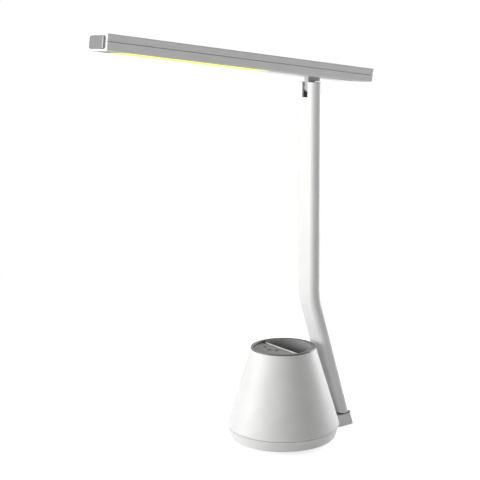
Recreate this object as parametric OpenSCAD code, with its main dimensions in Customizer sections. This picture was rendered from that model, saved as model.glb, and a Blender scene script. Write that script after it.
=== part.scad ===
// Rechargeable LED desk lamp whose conical base is a pen cup.
// Millimetres. Z is up, X points to the head's tip, Y is across the lamp.
// The origin is where the base's axis meets the desk.

/* [Base] */
// Widest diameter of the base, at its shoulder
base_d = 134.4; // [122:0.1:145]
// Height of the base, from the desk to the top of its trim ring
base_h = 114; // [100:1:130]
// Height of the widest place of the base above the desk
wide_z = 18.4; // [18.2:0.1:22]
// Radius of the rounded shoulder in side view
shoulder_r = 7.5; // [5:0.5:9]
// Lean of the base's side from the vertical, in degrees
side_lean = 16.9; // [14:0.1:18.5]
// Lean of the bottom cover's side, in degrees
skirt_lean = 15.5; // [10:0.5:24]
// Height of the seam between shell and bottom cover
seam_z = 17.4; // [16.6:0.1:17.8]
// Width of the seam groove
seam_gap = 0.5; // [0.2:0.1:1]
// Radius of the bottom cover's lower edge
cover_edge_r = 2.2; // [1:0.1:4]
// Wall of the shell and of the bottom cover
shell_wall = 2.2; // [1.6:0.1:3]
// Height of the shell's own top edge below the top of the trim ring
ring_h = 1.6; // [1.4:0.1:3]
// Width of the trim ring round the base's mouth
ring_w = 3; // [2.6:0.1:4]
// Thickness of the rubber pad under the base
pad_h = 4.1; // [3:0.1:4.6]
// Diameter of the rubber pad
pad_d = 98; // [80:1:102]

/* [Pen cup and touch panel] */
// Place of the cup's flat divider wall along X
divider_x = 1; // [-3:0.5:5]
// Wall of the cup
cup_wall = 1.8; // [1.2:0.1:2.5]
// Height of the underside of the cup's floor above the desk
cup_floor_z = 36.5; // [36:0.5:50]
// Depth of the deck's top face below the top of the trim ring
deck_drop = 4.8; // [4.4:0.1:7]
// Thickness of the deck that carries the touch panel
deck_t = 2.2; // [1.6:0.1:3]
// Width of the bright rail on the divider
rail_w = 2.6; // [1.6:0.1:3.5]
// Height of the bright rail above the deck
rail_h = 2.8; // [2:0.1:4]
// Thickness of the touch panel
panel_t = 1.7; // [1:0.1:2.5]
// Outer radius of each touch mark
mark_r = 2.4; // [1.5:0.1:2.6]
// Thickness of each printed mark
mark_t = 0.25; // [0.15:0.05:0.4]

/* [Inside the base] */
// Diameter of the steel ballast plate
ballast_d = 100; // [90:1:101]
// Thickness of the ballast plate
ballast_t = 8; // [6:0.5:8.5]
// Diameter of a battery cell
cell_d = 18; // [14:0.1:18.4]
// Length of a battery cell
cell_l = 65; // [50:1:72]
// Distance of the cover screws inward from the base's widest edge
cover_screw_in = 10; // [9.8:0.1:10.8]
// Height of the charging socket's centre above the desk
socket_z = 26.4; // [25.4:0.1:27.5]

/* [Arm] */
// Width of the arm across the lamp
arm_w = 28.5; // [22:0.5:30]
// Depth of the arm, front to back
arm_d = 13; // [11:0.5:15]
// Radius of the arm's long edges
arm_edge_r = 3; // [2:0.1:4]
// Wall of the arm tube
arm_wall = 1.5; // [1.2:0.1:2]
// Distance of the upright part's centre behind the base's axis
arm_x = 38.5; // [38:0.5:41]
// Height of the arm's top edge
arm_top_z = 424; // [400:1:440]
// Height at which the arm's two straight centre lines meet
bend_z = 169.5; // [160:0.5:180]
// Lean of the arm's lower part, in degrees
arm_lean = 17.2; // [16:0.1:17.5]
// Bend radius of the arm's centre line
bend_r = 70; // [40:1:90]

/* [Arm foot] */
// Width of the foot block
foot_w = 31; // [26:0.5:34]
// Height of the foot block's top face
foot_top_z = 15.2; // [14.8:0.1:15.5]
// Place of the foot block's rear bottom edge behind the base's axis
foot_back = 98.2; // [97:0.1:101]
// Width of the foot's tongue inside the base
tongue_w = 20.4; // [16:0.2:22]
// Thickness of each hinge leaf
leaf_t = 0.8; // [0.6:0.05:0.9]
// Outer radius of the hinge's barrel
barrel_r = 1.5; // [1.4:0.05:2]
// Radius of the hinge's pin
hinge_pin_r = 0.8; // [0.7:0.05:1]

/* [Tilt joint] */
// Depth of the tilt axis below the arm's top edge
axis_drop = 7; // [6:0.1:9]
// Width of the slot in the arm's top
slot_w = 9.8; // [9:0.1:11]
// Depth of the slot below the arm's top edge
slot_depth = 17.3; // [15:0.1:20]
// Thickness of the head's neck in the slot
neck_t = 7.3; // [6.5:0.1:8]
// Radius of the neck's rounded end
neck_end_r = 4.9; // [4:0.1:5.2]
// Length of the neck's top in front of the tilt axis
neck_front = 5; // [4.9:0.1:6]
// Length of the neck's top behind the tilt axis
neck_back = 12; // [8:0.1:13]
// Gap between the arm's top edge and the neck's shoulder
neck_gap = 0.6; // [0.4:0.1:1]
// Radius of the tilt pin
tilt_pin_r = 2.45; // [2:0.05:3]
// Running clearance of a pin in its bore, on the radius
pin_clearance = 0.05; // [0.02:0.01:0.09]

/* [Head] */
// Upward tilt of the head at rest, in degrees
head_tilt = 6.4; // [0:0.1:12]
// Distance from the tilt axis to the head's underside
head_rise = 12.8; // [12.2:0.1:15]
// Height of the head
head_h = 17.2; // [15:0.1:20]
// Width of the head
head_w = 42; // [38:0.5:46]
// Reach of the head in front of the tilt axis
head_front = 277; // [240:0.5:300]
// Reach of the head behind the tilt axis
head_back = 81; // [70:0.5:90]
// Height of the side groove above the head's underside
groove_h = 9.4; // [8.5:0.1:10.5]
// Width of the side groove
groove_w = 0.7; // [0.3:0.1:1]
// Wall of the head's shells
head_wall = 1.8; // [1.4:0.1:2.2]
// Radius of the head's long edges
head_edge_r = 2.4; // [2.2:0.1:3]
// Radius of the head's rear corners in plan
head_rear_r = 6; // [3:0.5:10]
// Rise of the underside at the head's rear end
rear_rise = 3; // [1:0.1:5]
// Length over which the underside rises at the rear
rear_run = 36; // [25:1:45]
// Width of the light strip
strip_w = 35; // [30:0.5:36]
// Start of the light strip in front of the tilt axis
strip_start = 70.5; // [60:0.5:90]
// Distance of the light strip's front end from the tip
strip_inset = 5.5; // [5.3:0.1:8]
// Depth of the tip's recess
tip_recess = 4; // [3:0.1:5]
// Number of light-emitting diodes
led_count = 24; // [8:1:32]

/* [Hidden] */
$fa = 4;
$fs = 0.6;
eps = 0.01;
seat = 0.2;          // gap between pieces that drop into each other
far = 200;           // reach of a cut that only has to clear the part
shown_white = [0.94, 0.94, 0.93];
shown_grey = [0.62, 0.63, 0.64];
shown_dark = [0.2, 0.2, 0.21];
shown_steel = [0.72, 0.73, 0.75];

// Base: radii of the outer form and of its inner wall at a height
shoulder_x = base_d / 2 - shoulder_r;
cone_x = shoulder_x + shoulder_r * cos(side_lean);
cone_z = wide_z + shoulder_r * sin(side_lean);
skirt_x = shoulder_x + shoulder_r * cos(skirt_lean);
skirt_z = wide_z - shoulder_r * sin(skirt_lean);
seam_top = seam_z + seam_gap / 2;
seam_low = seam_z - seam_gap / 2;
function cone_r(z) = cone_x - (z - cone_z) * tan(side_lean);
function cone_ri(z) = cone_r(z) - shell_wall / cos(side_lean);
function skirt_r(z) = skirt_x - (skirt_z - z) * tan(skirt_lean);
function skirt_ri(z) = skirt_r(z) - shell_wall / cos(skirt_lean);
// How far below the level an arc of radius r round the shoulder's centre goes: to the
// skirt or, when the seam is higher, to the seam
function shoulder_end(r) = min(skirt_lean, asin(min(1, (wide_z - seam_top) / r)));
// Point at the seam, unless the shoulder's arc already ends there
function seam_point(r, x) = shoulder_end(r) < skirt_lean ? [] : [[x, seam_top]];
function arc(cx, cy, r, a0, a1, n = 8) =
    [for (i = [0:n]) let (a = a0 + (a1 - a0) * i / n) [cx + r * cos(a), cy + r * sin(a)]];

shoulder_ri = shoulder_r - shell_wall;
shell_top = base_h - ring_h;
deck_z = base_h - deck_drop;
ledge_z = deck_z - deck_t;
ledge_t = 2;
mouth_r = cone_r(base_h) - ring_w;
cup_r = mouth_r - seat;
cup_top_z = base_h - 0.9;
floor_t = shell_wall;
ballast_z = pad_h + floor_t;
ballast_top = ballast_z + ballast_t;
cover_screw_pcr = base_d / 2 - cover_screw_in;
post_r = 4.2;
head_recess_r = 3;
ballast_r = min(ballast_d / 2, cover_screw_pcr - post_r - 1.5);
ballast_screw_pcr = 0.68 * ballast_r;
pad_r = min(pad_d / 2, cover_screw_pcr - head_recess_r - 1);

// Foot block and its hinge
foot_low = 0.4;
foot_front = base_d / 2 - 15.5;
tongue_t = 5.2;
tongue_end = base_d / 2 - 39.5;
tongue_start = base_d / 2 + 2.5;
tongue_window_x = base_d / 2 - 10.5;
foot_screw_places = [base_d / 2 - 33.5, base_d / 2 - 21.75];
leaf_gap = 0.2;
arm_end_z = foot_top_z + 2 * leaf_t + leaf_gap;
hinge_z = foot_top_z + leaf_t + leaf_gap / 2;
arm_low_x = arm_x + (bend_z - arm_end_z) * tan(arm_lean);
arm_low_half = arm_d / 2 / cos(arm_lean);
hinge_x = arm_low_x + arm_low_half + barrel_r + 0.25;
leaf_w = arm_w - 2;
leaf_front = arm_low_x - arm_low_half + 1.2;
knuckle_w = 8;
knuckle_gap = 0.2;
leaf_screw_x = arm_low_x;
leaf_screw_y = 8;

// Tilt joint
axis_z = arm_top_z - axis_drop;
washer_t = (slot_w - neck_t) / 2 - 2 * 0.075;

// Head, in its own frame: the tilt axis is the origin
head_z = head_rise;
head_top = head_rise + head_h;
groove_z = head_z + groove_h;
head_floor = head_z + head_wall;
strip_end = head_front - strip_inset;
plug_x = head_front - tip_recess;
neck_plate_z = head_floor + 0.1;
neck_plate_t = 2;
neck_plate_w = 0.62 * head_w;
neck_plate_over = 9;
neck_screw_in = 3.5;
neck_hole_x0 = -neck_back * cos(head_tilt) + head_z * sin(head_tilt) - 0.3;
neck_hole_x1 = neck_front * cos(head_tilt) + neck_plate_z * sin(head_tilt) + 0.3;
strip_flange = 1;
reflector_z = head_floor + strip_flange;
board_z = head_floor + 7.2;
board_t = 1.2;
led_start = strip_start + 5;
led_pitch = (strip_end - strip_start - 10) / (led_count - 1);

// ---- shared forms ----

// Rounded rectangle, centred, with true arcs
module round_rect(w, h, r) {
    square([w - 2 * r, h], center = true);
    square([w, h - 2 * r], center = true);
    for (sx = [-1, 1], sy = [-1, 1])
        translate([sx * (w / 2 - r), sy * (h / 2 - r)])
            circle(r = r);
}

// Lays a profile drawn in X and Z across the lamp, from -w/2 to w/2
module across(w) {
    translate([0, w / 2, 0])
        rotate([90, 0, 0])
            linear_extrude(w)
                children();
}

// Cylinder along Y, centred on the XZ plane
module cross_pin(r, l) {
    rotate([90, 0, 0])
        cylinder(r = r, h = l, center = true);
}

// Countersunk screw, its head's face at z = 0, pointing up
module flat_screw(r, head_r, head_h, l) {
    cylinder(r1 = head_r, r2 = r, h = head_h);
    cylinder(r = r, h = l);
}

// Puts children at the four cover screws
module at_cover_screws() {
    for (a = [45:90:315])
        rotate([0, 0, a])
            translate([cover_screw_pcr, 0, 0])
                children();
}

// Puts children at the three ballast screws
module at_ballast_screws() {
    for (a = [0, 120, 240])
        rotate([0, 0, a])
            translate([ballast_screw_pcr, 0, 0])
                children();
}

// Puts children at the two foot screws
module at_foot_screws() {
    for (x = foot_screw_places)
        translate([-x, 0, 0])
            children();
}

// Puts children at the two screws of a hinge leaf
module at_leaf_screws() {
    for (sy = [-1, 1])
        translate([-leaf_screw_x, sy * leaf_screw_y, 0])
            children();
}

// Puts a shape drawn about the tilt axis in its place on the lamp, untilted
module at_tilt_axis() {
    translate([-arm_x, 0, axis_z])
        children();
}

// Puts a shape drawn in the head's own frame in its rest pose
module as_head() {
    at_tilt_axis()
        rotate([0, -head_tilt, 0])
            children();
}

// ---- base ----

// Outer form of the whole base, grown by g, as a solid of revolution
module base_form(g) {
    rotate_extrude($fn = 180)
        polygon(concat(
            [[0, pad_h], [skirt_r(pad_h) + g, pad_h]],
            arc(shoulder_x, wide_z, shoulder_r + g, -skirt_lean, side_lean),
            [[cone_r(base_h) + g, base_h], [0, base_h]]));
}

boss_r = 4.3;
boss_top = seam_z + 26;
boss_z = seam_z - 0.7;
cover_screw_r = 1.5;
cover_screw_l = 18;

module base_shell() {
    color(shown_white)
    difference() {
        union() {
            rotate_extrude($fn = 180)
                polygon(concat(
                    seam_point(shoulder_r, skirt_r(seam_top)),
                    arc(shoulder_x, wide_z, shoulder_r, -shoulder_end(shoulder_r), side_lean),
                    [[cone_r(shell_top), shell_top], [cone_ri(shell_top), shell_top],
                     [cone_ri(ledge_z), ledge_z], [cup_r + 0.5, ledge_z],
                     [cup_r + 0.5, ledge_z - ledge_t],
                     [cone_ri(ledge_z - ledge_t - 2.5), ledge_z - ledge_t - 2.5]],
                    arc(shoulder_x, wide_z, shoulder_ri, side_lean, -shoulder_end(shoulder_ri)),
                    seam_point(shoulder_ri, skirt_ri(seam_top))));
            intersection() {
                at_cover_screws()
                    translate([0, 0, boss_z])
                        cylinder(r = boss_r, h = boss_top - boss_z);
                base_form(-shell_wall / 2);
            }
        }
        at_cover_screws()
            translate([0, 0, boss_z - eps])
                cylinder(r = cover_screw_r + 0.05, h = cover_screw_l);
        socket_window();
    }
}

socket_w = 9;
socket_h = 3.2;
socket_gap = 0.4;
socket_out = 1.2;
socket_cut = 7;
socket_r = cone_r(socket_z);

// Cut through the shell for the charging socket, on the side away from the light
module socket_window() {
    translate([0, -socket_r, socket_z])
        rotate([90, 0, 0])
            linear_extrude(2 * socket_cut, center = true)
                round_rect(socket_w + 2 * socket_gap, socket_h + 2 * socket_gap, 1.6);
}

head_recess_z = pad_h + 5;

module base_cover() {
    lip_out = 0.2;
    lip_t = 1.3;
    lip_z = seam_z + 2;
    edge_z = pad_h + cover_edge_r;
    color(shown_white)
    difference() {
        union() {
            rotate_extrude($fn = 180)
                polygon(concat(
                    [[0, pad_h]],
                    arc(skirt_r(edge_z) - cover_edge_r / cos(skirt_lean), edge_z,
                        cover_edge_r, -90, -skirt_lean, 5),
                    [[skirt_r(seam_low), seam_low],
                     [skirt_ri(seam_low), seam_low],
                     [skirt_ri(seam_low) - lip_out, lip_z],
                     [skirt_ri(seam_z) - lip_out - lip_t, lip_z],
                     [skirt_ri(ballast_z + 2), ballast_z + 2],
                     [skirt_ri(ballast_z) - 1, ballast_z], [0, ballast_z]]));
            at_cover_screws()
                translate([0, 0, pad_h + 1])
                    cylinder(r = post_r, h = boss_z - 0.3 - pad_h - 1);
        }
        at_cover_screws() {
            translate([0, 0, pad_h - eps])
                cylinder(r = head_recess_r, h = head_recess_z - pad_h + eps);
            translate([0, 0, pad_h])
                cylinder(r = cover_screw_r + 0.15, h = 20);
        }
        at_ballast_screws()
            floor_screw_hole();
        at_foot_screws()
            floor_screw_hole();
        // window for the foot's tongue
        translate([-far, -tongue_w / 2 - seat, ballast_z])
            cube([far - tongue_window_x, tongue_w + 2 * seat, tongue_t + 2 * seat]);
    }
}

floor_screw_r = 2;
floor_head_r = 3.8;
floor_head_h = 1.9;

// Countersunk hole in the bottom cover's floor
module floor_screw_hole() {
    translate([0, 0, pad_h - eps])
        cylinder(r1 = floor_head_r + 0.15, r2 = floor_screw_r + 0.15, h = floor_head_h + eps);
    translate([0, 0, pad_h])
        cylinder(r = floor_screw_r + 0.15, h = floor_t + 1);
}

module base_pad() {
    color(shown_dark)
    rotate_extrude($fn = 120)
        polygon([[0, 0], [pad_r - 0.6, 0], [pad_r, 0.6], [pad_r, pad_h], [0, pad_h]]);
}

module trim_ring() {
    spigot_z = deck_z + 0.1;
    r_low = cone_r(shell_top);
    r_top = cone_r(base_h);
    edge = 0.7;
    color(shown_grey)
    rotate_extrude($fn = 180)
        polygon(concat(
            [[r_low, shell_top]],
            arc(r_top + edge * tan(side_lean) - edge, base_h - edge, edge, 0, 90, 4),
            arc(mouth_r + edge, base_h - edge, edge, 90, 180, 4),
            [[mouth_r, spigot_z], [cone_ri(spigot_z) - 1.6, spigot_z],
             [cone_ri(shell_top) - seat, shell_top]]));
}

// D-shaped outline: a disc of radius r on the rear side of the line x = edge
module rear_d(r, edge) {
    intersection() {
        circle(r = r, $fn = 120);
        translate([-far, -far])
            square([far + edge, 2 * far]);
    }
}

// D-shaped outline: a disc of radius r on the front side of the line x = edge
module front_d(r, edge) {
    intersection() {
        circle(r = r, $fn = 120);
        translate([edge, -far])
            square([far, 2 * far]);
    }
}

cup_floor_t = 2;
flange_r = cone_ri(deck_z) - 0.4;

module pen_cup() {
    color(shown_grey)
    difference() {
        union() {
            translate([0, 0, cup_floor_z])
                linear_extrude(cup_top_z - cup_floor_z)
                    rear_d(cup_r, divider_x + cup_wall);
            translate([0, 0, ledge_z])
                cylinder(r = flange_r, h = deck_t, $fn = 120);
        }
        translate([0, 0, cup_floor_z + cup_floor_t])
            linear_extrude(far)
                rear_d(cup_r - cup_wall, divider_x);
        // the divider stops at the deck, under the rail
        translate([divider_x - eps, -far, deck_z])
            cube([far, 2 * far, far]);
    }
}

rail_half = sqrt(pow(cup_r - cup_wall, 2) - pow(divider_x, 2)) - 1.6;

module divider_rail() {
    top_r = 0.8;
    color(shown_white)
    translate([divider_x + rail_w / 2, 0, deck_z])
        across(2 * rail_half)
            union() {
                translate([-rail_w / 2, 0])
                    square([rail_w, rail_h - top_r]);
                translate([0, rail_h - top_r])
                    square([rail_w - 2 * top_r, 2 * top_r], center = true);
                for (sx = [-1, 1])
                    translate([sx * (rail_w / 2 - top_r), rail_h - top_r])
                        circle(r = top_r);
            }
}

panel_x = divider_x + rail_w + 0.4;

module touch_panel() {
    color([0.5, 0.51, 0.52])
    translate([0, 0, deck_z])
        linear_extrude(panel_t)
            front_d(cup_r, panel_x);
}

// Three generic touch marks: an open ring, a ring with a dot, and a dot in a gap
mark_places = [[0.365, -0.544], [0.453, -0.167], [0.297, 0.045]] * mouth_r;

module touch_marks() {
    color([0.32, 0.3, 0.3])
    for (i = [0:2])
        translate([mark_places[i][0], mark_places[i][1], deck_z + panel_t])
            linear_extrude(mark_t)
                union() {
                    difference() {
                        circle(r = mark_r);
                        circle(r = mark_r - 0.7);
                    }
                    if (i == 1)
                        circle(r = mark_r - 1.3);
                }
}

touch_board_r = cup_r - 2.4;

module touch_board() {
    color("darkgreen")
    translate([0, 0, ledge_z - 1.8])
        linear_extrude(1.6)
            front_d(touch_board_r, panel_x + 2);
}

module ballast_plate() {
    color(shown_steel)
    difference() {
        translate([0, 0, ballast_z])
            cylinder(r = ballast_r, h = ballast_t, $fn = 120);
        at_ballast_screws()
            translate([0, 0, ballast_z - eps])
                cylinder(r = floor_screw_r + 0.05, h = ballast_t + 1);
        translate([-far, -tongue_w / 2 - seat, 0])
            cube([far - tongue_end + 0.6, tongue_w + 2 * seat, far]);
    }
}

tray_t = 1.6;
cell_gap = 0.8;
cell_x = cell_d / 2 + 1.2;
cell_z = ballast_top + tray_t + cell_gap / 4 + cell_d / 2;

tray_end_t = 1.6;
tray_l = cell_l + 1 + 2 * tray_end_t;

module battery_tray() {
    wide = 2 * cell_x + cell_d + 2.4;
    color(shown_dark)
    difference() {
        translate([-wide / 2, -tray_l / 2, ballast_top])
            cube([wide, tray_l, tray_t + cell_d * 0.55]);
        for (sx = [-1, 1])
            translate([sx * cell_x, 0, cell_z])
                cross_pin(cell_d / 2 + cell_gap / 4, cell_l + 1);
        translate([-wide / 2 + 1.2, -cell_l / 2, cell_z - 1])
            cube([wide - 2.4, cell_l, cell_d]);
    }
}

module battery_cells() {
    color([0.2, 0.35, 0.55])
    for (sx = [-1, 1])
        translate([sx * cell_x, 0, cell_z]) {
            cross_pin(cell_d / 2, cell_l);
            translate([0, -sx * (cell_l / 2 + 0.2), 0])
                cross_pin(cell_d * 0.15, 0.6);
        }
}

board_half = 22;
board_y0 = -(socket_r - 7.7);
board_y1 = -(tray_l / 2 + 2.4);
board_top = socket_z - socket_h / 2;
pcb_t = 1.6;

// Places of the main board's spacers on one side, all above the ballast plate
spacer_r = 2.2;
spacer_places = [[9.5, -(ballast_r - spacer_r - 1.1)], [board_half - 3.5, board_y1 - 3.5]];

// Puts children at the main board's four spacers
module at_board_spacers() {
    for (sx = [-1, 1], p = spacer_places)
        translate([sx * p[0], p[1], 0])
            children();
}

module main_board() {
    color("darkgreen")
    difference() {
        union() {
            translate([-board_half, board_y0, board_top - pcb_t])
                cube([2 * board_half, board_y1 - board_y0, pcb_t]);
            // charge controller, coil and driver
            translate([-7.8, board_y1 - 8, board_top])
                cube([6, 6, 1.4]);
            translate([-1, board_y1 - 7.5, board_top])
                cube([7, 7, 3.2]);
            translate([12, board_y1 - 6.5, board_top])
                cube([5, 4, 1.2]);
        }
        // corners cut to follow the round shell
        for (sx = [-1, 1])
            translate([sx * (board_half + 2.5), board_y0 - 2.5, board_top])
                rotate([0, 0, 45])
                    cube([14, 14, 20], center = true);
        at_board_spacers()
            translate([0, 0, board_top - pcb_t - eps])
                cylinder(r = 1.1, h = pcb_t + 1);
    }
}

module board_spacers() {
    color(shown_grey)
    at_board_spacers() {
        translate([0, 0, ballast_top])
            cylinder(r = spacer_r, h = board_top - pcb_t - ballast_top);
        translate([0, 0, ballast_top])
            cylinder(r = 1.05, h = board_top - ballast_top + 0.8);
    }
}

module charge_socket() {
    depth = 8;
    front = -(socket_r - socket_out);
    color(shown_steel)
    difference() {
        translate([0, front + depth, socket_z])
            rotate([90, 0, 0])
                linear_extrude(depth)
                    round_rect(socket_w, socket_h, 1.5);
        translate([0, front + depth - 1.2, socket_z])
            rotate([90, 0, 0])
                linear_extrude(depth)
                    difference() {
                        round_rect(socket_w - 0.7, socket_h - 0.7, 1.2);
                        square([6.4, 0.7], center = true);
                    }
    }
}

module cover_screws() {
    color(shown_steel)
    at_cover_screws() {
        translate([0, 0, head_recess_z - 2])
            cylinder(r = 2.75, h = 2);
        translate([0, 0, head_recess_z - eps])
            cylinder(r = cover_screw_r, h = cover_screw_l);
    }
}

module ballast_screws() {
    color(shown_steel)
    at_ballast_screws()
        translate([0, 0, pad_h])
            flat_screw(floor_screw_r, floor_head_r, floor_head_h, floor_t + ballast_t - 1);
}

// ---- arm foot ----

// Side outline of the foot block, leaning with the arm
module foot_outline() {
    edge = 0.8;
    back_top = foot_back - (foot_top_z - foot_low) * tan(side_lean);
    polygon(concat(
        [[-foot_front, foot_low]],
        [[-foot_front, foot_top_z]],
        arc(-back_top + 1.1, foot_top_z - edge, edge, 90, 180 - side_lean, 4),
        arc(-foot_back + 1.2, foot_low + edge, edge, 180 - side_lean, 270, 5)));
}

module foot_block() {
    color(shown_white)
    difference() {
        union() {
            difference() {
                across(foot_w)
                    foot_outline();
                base_form(0.25);
            }
            translate([-tongue_start, -tongue_w / 2, ballast_z])
                cube([tongue_start - tongue_end, tongue_w, tongue_t]);
        }
        at_foot_screws()
            translate([0, 0, ballast_z - eps])
                cylinder(r = floor_screw_r + 0.05, h = tongue_t + 1);
        // seat of the hinge barrel in the rear top edge
        translate([-hinge_x, 0, hinge_z])
            cross_pin(barrel_r + 0.3, foot_w + 2);
        translate([-far - hinge_x, -far / 2, hinge_z])
            cube([far, far, far]);
        at_leaf_screws()
            translate([0, 0, foot_top_z - 7])
                cylinder(r = leaf_screw_r + 0.05, h = 8);
        // recess for the rear pad
        translate([-rear_pad_x, 0, foot_low - eps])
            linear_extrude(rear_pad_t + 0.1 - foot_low)
                round_rect(rear_pad_l + 0.4, rear_pad_w + 0.4, 2.2);
    }
}

module foot_screws() {
    color(shown_steel)
    at_foot_screws()
        translate([0, 0, pad_h])
            flat_screw(floor_screw_r, floor_head_r, floor_head_h, floor_t + tongue_t - 0.4);
}

rear_pad_x = foot_back - 15.4;
rear_pad_l = 22;
rear_pad_w = 20;
rear_pad_t = 1.7;

module rear_pad() {
    color(shown_dark)
    translate([-rear_pad_x, 0, 0])
        linear_extrude(rear_pad_t)
            round_rect(rear_pad_l, rear_pad_w, 2);
}

leaf_screw_r = 1;

// A hinge leaf's plate, from z = 0 up, with countersunk holes opening at z = face
module leaf_plate(face) {
    difference() {
        translate([-hinge_x + barrel_r + 0.3, -leaf_w / 2, 0])
            cube([hinge_x - barrel_r - 0.3 - leaf_front, leaf_w, leaf_t]);
        at_leaf_screws()
            translate([0, 0, -eps])
                cylinder(r1 = face == 0 ? 1.95 : leaf_screw_r + 0.05,
                         r2 = face == 0 ? leaf_screw_r + 0.05 : 1.95,
                         h = leaf_t + 2 * eps);
    }
}

// Knuckle of width w at y, joined to a plate whose middle is at height z
module knuckle(y, w, z) {
    translate([-hinge_x, y, hinge_z])
        cross_pin(barrel_r, w);
    translate([-hinge_x, y - w / 2, z])
        cube([barrel_r + 0.4, w, leaf_t]);
}

module hinge_bore() {
    translate([-hinge_x, 0, hinge_z])
        cross_pin(hinge_pin_r + pin_clearance, foot_w + 2);
}

outer_knuckle_w = (leaf_w - knuckle_w) / 2 - knuckle_gap;
outer_knuckle_y = leaf_w / 2 - outer_knuckle_w / 2;

module hinge_leaf_lower() {
    color(shown_dark)
    difference() {
        union() {
            translate([0, 0, foot_top_z])
                leaf_plate(leaf_t);
            for (sy = [-1, 1])
                knuckle(sy * outer_knuckle_y, outer_knuckle_w, foot_top_z);
        }
        hinge_bore();
    }
}

module hinge_leaf_upper() {
    color(shown_dark)
    difference() {
        union() {
            translate([0, 0, arm_end_z - leaf_t])
                leaf_plate(0);
            knuckle(0, knuckle_w, arm_end_z - leaf_t);
        }
        hinge_bore();
    }
}

module leaf_screws_lower() {
    color(shown_steel)
    at_leaf_screws()
        translate([0, 0, foot_top_z + leaf_t])
            mirror([0, 0, 1])
                flat_screw(leaf_screw_r, 1.85, leaf_t, 6.5);
}

module leaf_screws_upper() {
    color(shown_steel)
    at_leaf_screws()
        translate([0, 0, arm_end_z - leaf_t])
            flat_screw(leaf_screw_r, 1.85, leaf_t, 8);
}

module hinge_pin() {
    color(shown_steel)
    translate([-hinge_x, 0, hinge_z])
        cross_pin(hinge_pin_r, leaf_w + 0.4);
}

// ---- arm ----

bend_tan = bend_r * tan(arm_lean / 2);
bend_top_z = bend_z + bend_tan;
bend_full = 0.02;
bend_lap = 0.5;

// Solid of the arm's path with the given section: upright, bend and leaning part.
// The bend is drawn fuller by bend_full, and the straight parts end inside it.
module arm_path(w, d, r, low_l) {
    translate([-arm_x, 0, bend_top_z - bend_lap])
        linear_extrude(arm_top_z - bend_top_z + bend_lap)
            round_rect(d, w, r);
    translate([-arm_x - bend_r, 0, bend_top_z])
        rotate([90, 0, 0])
            rotate_extrude(angle = -arm_lean, $fn = 180)
                translate([bend_r, 0])
                    round_rect(d + 2 * bend_full, w + 2 * bend_full, r + bend_full);
    translate([-arm_x, 0, bend_z])
        rotate([0, arm_lean, 0])
            translate([0, 0, -bend_tan - low_l])
                linear_extrude(low_l + bend_lap)
                    round_rect(d, w, r);
}

arm_low_l = (bend_z - arm_end_z) / cos(arm_lean) - bend_tan + arm_d;

// Everything above the arm's lower end face
module above_arm_end() {
    translate([-far, -far, arm_end_z])
        cube([2 * far, 2 * far, 3 * far]);
}

// Slot in the arm's top for the head's neck
module neck_slot() {
    translate([-arm_x - arm_d, -slot_w / 2, arm_top_z - slot_depth])
        cube([2 * arm_d, slot_w, slot_depth + 1]);
}

module arm_tube() {
    color(shown_white)
    difference() {
        intersection() {
            arm_path(arm_w, arm_d, arm_edge_r, arm_low_l);
            above_arm_end();
        }
        arm_cavity();
        neck_slot();
    }
}

module arm_cavity() {
    translate([0, 0, -eps])
        arm_path(arm_w - 2 * arm_wall, arm_d - 2 * arm_wall, arm_edge_r - arm_wall, arm_low_l);
    translate([-arm_x, 0, arm_top_z - 1])
        linear_extrude(2)
            round_rect(arm_d - 2 * arm_wall, arm_w - 2 * arm_wall, arm_edge_r - arm_wall);
}

plug_w = arm_w - 2 * arm_wall - 2 * 0.1;
plug_d = arm_d - 2 * arm_wall - 2 * 0.1;
plug_r = arm_edge_r - arm_wall;
plug_l = 24;

module arm_foot_plug() {
    color(shown_dark)
    difference() {
        intersection() {
            translate([-arm_x, 0, bend_z])
                rotate([0, arm_lean, 0])
                    translate([0, 0, -bend_tan - arm_low_l])
                        linear_extrude(plug_l + arm_d)
                            round_rect(plug_d, plug_w, plug_r);
            above_arm_end();
        }
        at_leaf_screws()
            translate([0, 0, arm_end_z - eps])
                cylinder(r = leaf_screw_r + 0.05, h = 9);
        // way for the lead
        translate([-arm_x, 0, bend_z])
            rotate([0, arm_lean, 0])
                translate([0, 0, -far])
                    cylinder(r = 2.2, h = far);
    }
}

fork_l = 26;

module arm_fork() {
    color(shown_dark)
    difference() {
        translate([-arm_x, 0, arm_top_z - fork_l])
            linear_extrude(fork_l)
                round_rect(plug_d, plug_w, plug_r);
        neck_slot();
        at_tilt_axis()
            cross_pin(tilt_pin_r + pin_clearance, arm_w);
        translate([-arm_x, 0, arm_top_z - fork_l - 1])
            cylinder(r = 2.2, h = fork_l);
    }
}

lead_r = 0.9;
lead_x = arm_d / 2 - arm_wall - lead_r - 0.15;
lead_side = lead_r * 1.15;
lead_low_l = arm_low_l - plug_l - arm_d - 0.3;

// Twin lead from the foot plug up to the fork, along the tube's rear wall
module arm_lead() {
    top = arm_top_z - fork_l - 0.3;
    color([0.15, 0.15, 0.16])
    intersection() {
        for (sy = [-1, 1]) {
            translate([-arm_x - lead_x, sy * lead_side, bend_top_z - bend_lap])
                cylinder(r = lead_r, h = top - bend_top_z + bend_lap);
            translate([-arm_x - bend_r, 0, bend_top_z])
                rotate([90, 0, 0])
                    rotate_extrude(angle = -arm_lean, $fn = 180)
                        translate([bend_r - lead_x, sy * lead_side])
                            circle(r = lead_r + bend_full, $fn = 24);
            translate([-arm_x, 0, bend_z])
                rotate([0, arm_lean, 0])
                    translate([-lead_x, sy * lead_side, -bend_tan - lead_low_l])
                        cylinder(r = lead_r, h = lead_low_l + bend_lap);
        }
        above_arm_end();
    }
}

// ---- tilt joint ----

module tilt_pin() {
    color(shown_steel)
    at_tilt_axis()
        cross_pin(tilt_pin_r, plug_w - 1);
}

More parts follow.
